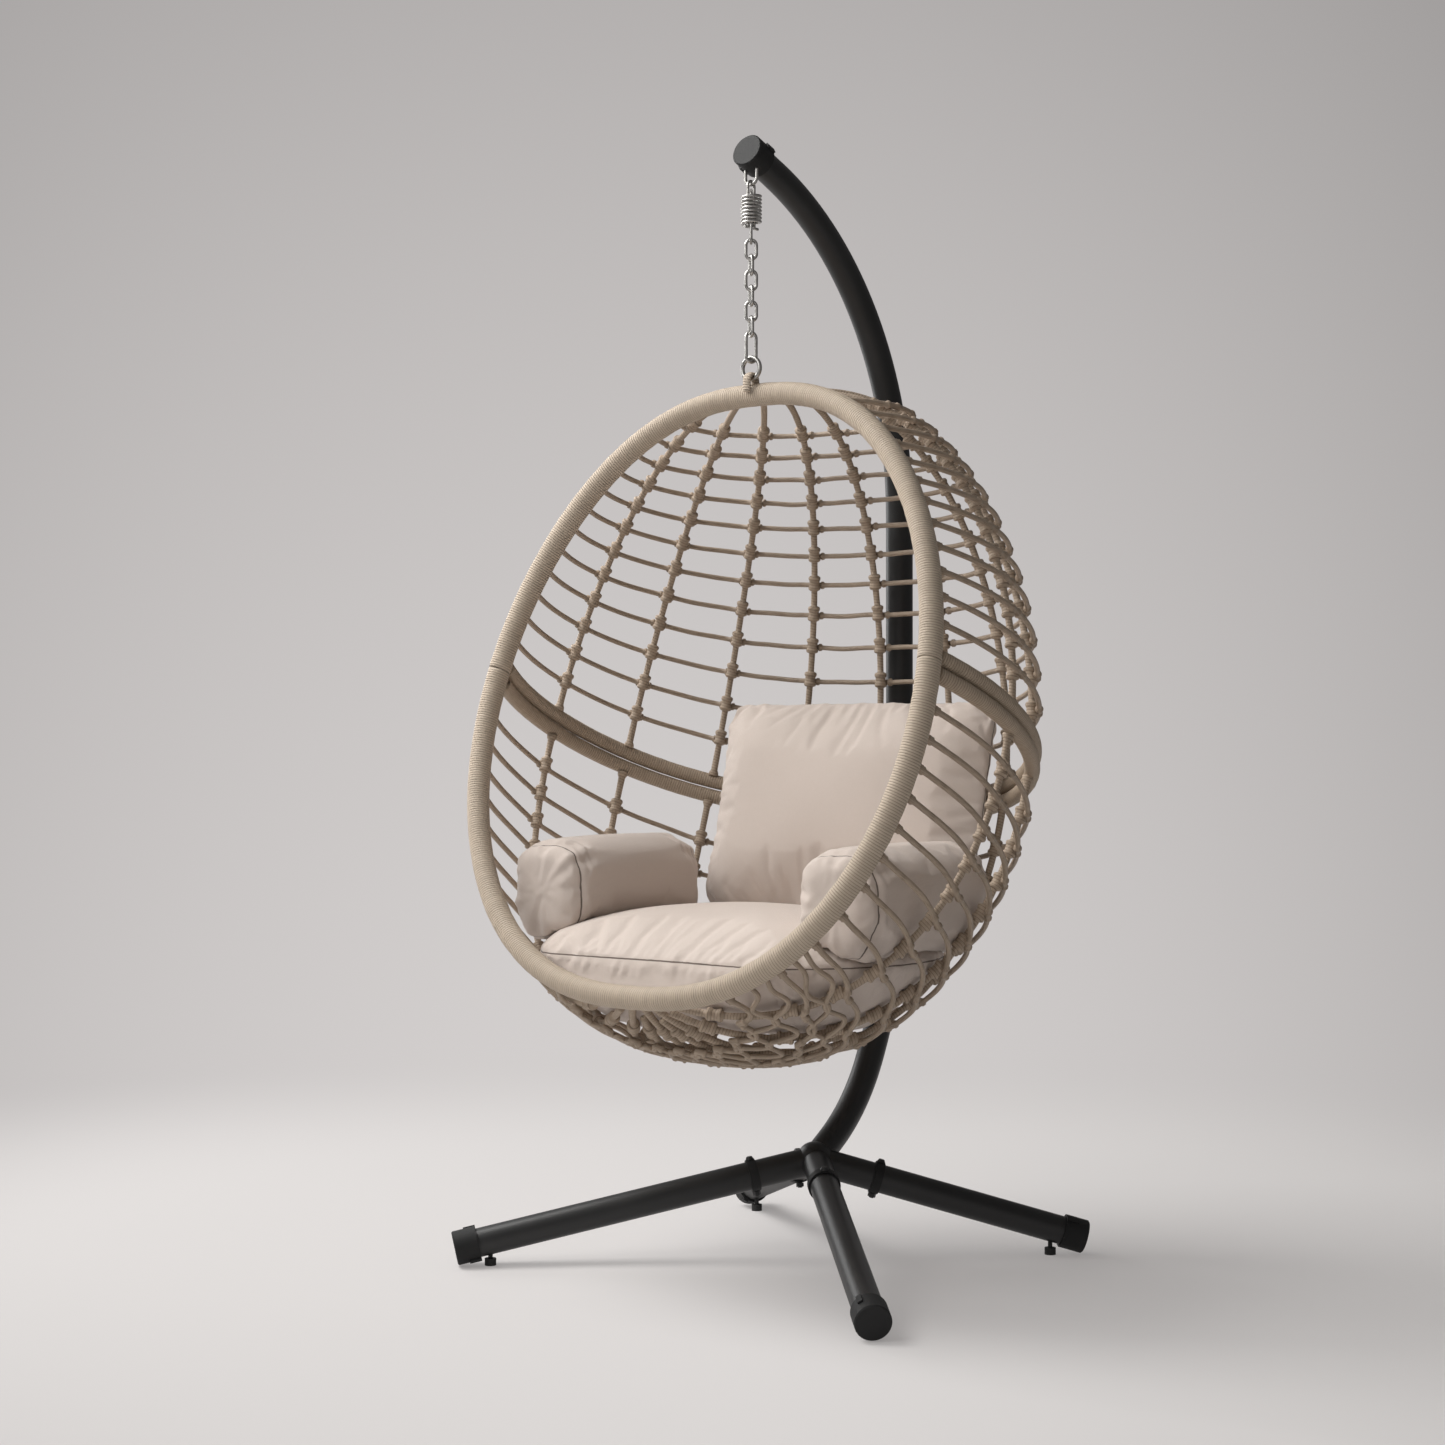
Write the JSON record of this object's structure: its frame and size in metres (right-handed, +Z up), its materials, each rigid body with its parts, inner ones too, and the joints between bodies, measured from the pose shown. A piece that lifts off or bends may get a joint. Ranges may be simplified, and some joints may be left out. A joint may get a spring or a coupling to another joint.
{
  "type": "hanging egg chair",
  "caption": "Egg-shaped woven basket chair with loose cushions, hung by a chain and spring from a curved steel stand on spread legs.",
  "frame": {"origin": "on the floor, under the middle of the whole chair's box", "axes": "+Z up; the sitter faces -Y; +X is to the right of someone who stands in front of the chair, and left and right in the names are as that person sees them"},
  "size_m": [1.018, 0.8485, 1.9528],
  "materials": {
    "powder_coat": "satin",
    "cap_plastic": "matte",
    "foot_rubber": "matte",
    "bright_steel": "polished",
    "wrapped_cane": "matte",
    "cushion_fabric": "matte"
  },
  "bodies": {
    "stand": {"hub": "powder_coat", "lower_post": "powder_coat", "upper_arm": "powder_coat", "arm_cap": "cap_plastic", "leg_front_left": "powder_coat", "leg_front_right": "powder_coat", "leg_rear_left": "powder_coat", "leg_rear_right": "powder_coat", "foot_cap_front_left": "cap_plastic", "foot_cap_front_right": "cap_plastic", "foot_cap_rear_left": "cap_plastic", "foot_cap_rear_right": "cap_plastic", "leg_collars": "cap_plastic", "leg_bolts": "powder_coat", "leg_nuts": "powder_coat", "levelling_feet": "foot_rubber", "post_bolts": "powder_coat", "post_nuts": "powder_coat", "u_bolt": "bright_steel", "u_bolt_plate": "bright_steel", "u_bolt_nuts": "bright_steel"},
    "hanger": {"upper_draw_bar": "bright_steel", "spring": "bright_steel"},
    "drop_bar": {"lower_draw_bar": "bright_steel"},
    "chain": {"chain_link_1": "bright_steel", "chain_link_2": "bright_steel", "chain_link_3": "bright_steel", "chain_link_4": "bright_steel", "chain_link_5": "bright_steel", "chain_link_6": "bright_steel", "long_link": "bright_steel"},
    "ring": {"hanging_ring": "bright_steel"},
    "basket": {"rim_eye": "wrapped_cane", "rim_upper": "wrapped_cane", "rim_lower": "wrapped_cane", "hoop_upper": "wrapped_cane", "hoop_lower": "wrapped_cane", "hoop_clips": "wrapped_cane", "ribs_upper": "wrapped_cane", "ribs_lower": "wrapped_cane", "rungs_upper": "wrapped_cane", "rungs_lower": "wrapped_cane", "seat_cushion": "cushion_fabric", "back_cushion": "cushion_fabric", "arm_bolster_left": "cushion_fabric", "arm_bolster_right": "cushion_fabric"}
  },
  "joints": [
    {"name": "swing_fore_aft", "type": "hinge", "parent": "stand", "child": "hanger", "pos_m": [0, -0.08759, 1.86759], "axis": [-1, 0, 0], "range_deg": [-1, 20]},
    {"name": "spring_bounce", "type": "slide", "parent": "hanger", "child": "drop_bar", "axis": [0, 0, -1], "range_m": [0, 0.008], "deforming": ["spring"]},
    {"name": "chain_twist", "type": "hinge", "parent": "drop_bar", "child": "chain", "pos_m": [0, -0.08759, 1.77259], "axis": [0, 0, 1], "range_deg": [-8, 8]},
    {"name": "swing_sideways", "type": "hinge", "parent": "chain", "child": "ring", "pos_m": [0, -0.08759, 1.55159], "axis": [0, 1, 0], "range_deg": [-6, 6]},
    {"name": "basket_tilt", "type": "hinge", "parent": "ring", "child": "basket", "pos_m": [0, -0.08759, 1.53309], "axis": [-1, 0, 0], "range_deg": [0, 8]}
  ]
}
